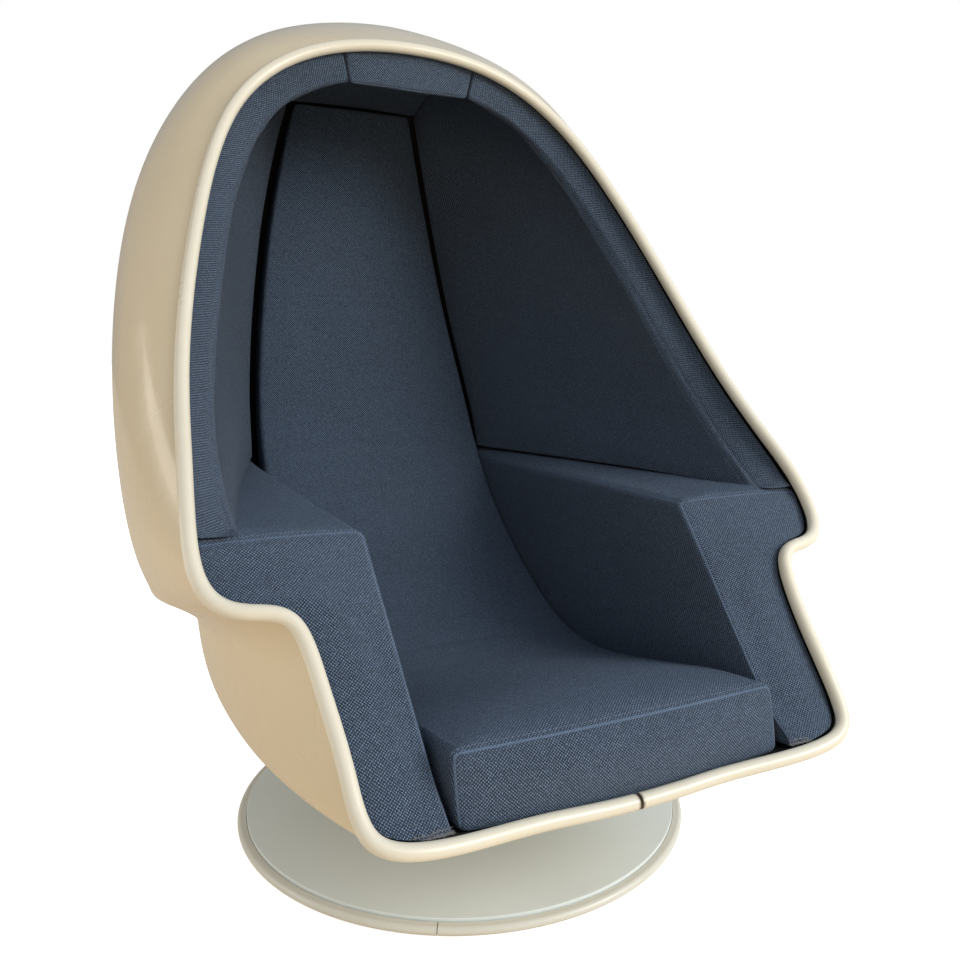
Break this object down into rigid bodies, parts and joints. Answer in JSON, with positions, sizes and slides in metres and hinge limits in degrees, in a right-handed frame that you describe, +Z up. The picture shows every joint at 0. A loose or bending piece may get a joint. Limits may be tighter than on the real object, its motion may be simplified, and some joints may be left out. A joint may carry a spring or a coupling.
{
  "type": "swivelling pod chair",
  "caption": "Egg-shaped lounge chair: a moulded shell with a hood, padded lining, arms and one long seat and back cushion, turning on a flat round base.",
  "frame": {"origin": "on the floor under the swivel axis, at the middle of the base's felt ring", "axes": "+Z up, the opening faces -Y, +X to the left hand of a person who sits in it; millimetres in the source"},
  "size_m": [1.0148, 1.1769, 1.3471],
  "materials": {
    "shell_gelcoat": "glossy ivory gelcoat on glass-fibre",
    "bead_vinyl": "semi-gloss cream vinyl",
    "woven_fabric": "coarse dark blue-grey basket weave",
    "base_laminate": "satin pale grey-green",
    "edge_moulding": "satin cream vinyl",
    "board": "raw board",
    "felt": "felt",
    "black_steel": "satin black",
    "turned_steel": "turned",
    "zinc_steel": "zinc plated",
    "nylon": "matte natural"
  },
  "bodies": {
    "base": {"base_felt_ring": "felt", "base_core_board": "board", "base_top_plate": "base_laminate", "base_edge_trim": "edge_moulding", "column_with_flange": "black_steel", "flange_bolts": "zinc_steel", "column_bush": "nylon", "thrust_washer": "nylon"},
    "pod": {"swivel_spindle": "turned_steel", "retaining_ring": "turned_steel", "pod_plate": "black_steel", "pod_plate_bolts": "zinc_steel", "inner_mount_board": "board", "pod_shell": "shell_gelcoat", "rim_bead": "bead_vinyl", "hood_pad_left": "woven_fabric", "hood_pad_top": "woven_fabric", "hood_pad_right": "woven_fabric", "hood_board_left": "board", "hood_board_right": "board", "arm_pad_left": "woven_fabric", "arm_pad_right": "woven_fabric", "seat_deck": "board", "seat_back_cushion": "woven_fabric"}
  },
  "joints": [
    {"name": "pod_swivel", "type": "hinge", "parent": "base", "child": "pod", "pos_m": [0, 0, 0.1], "axis": [0, 0, 1], "continuous": true}
  ]
}
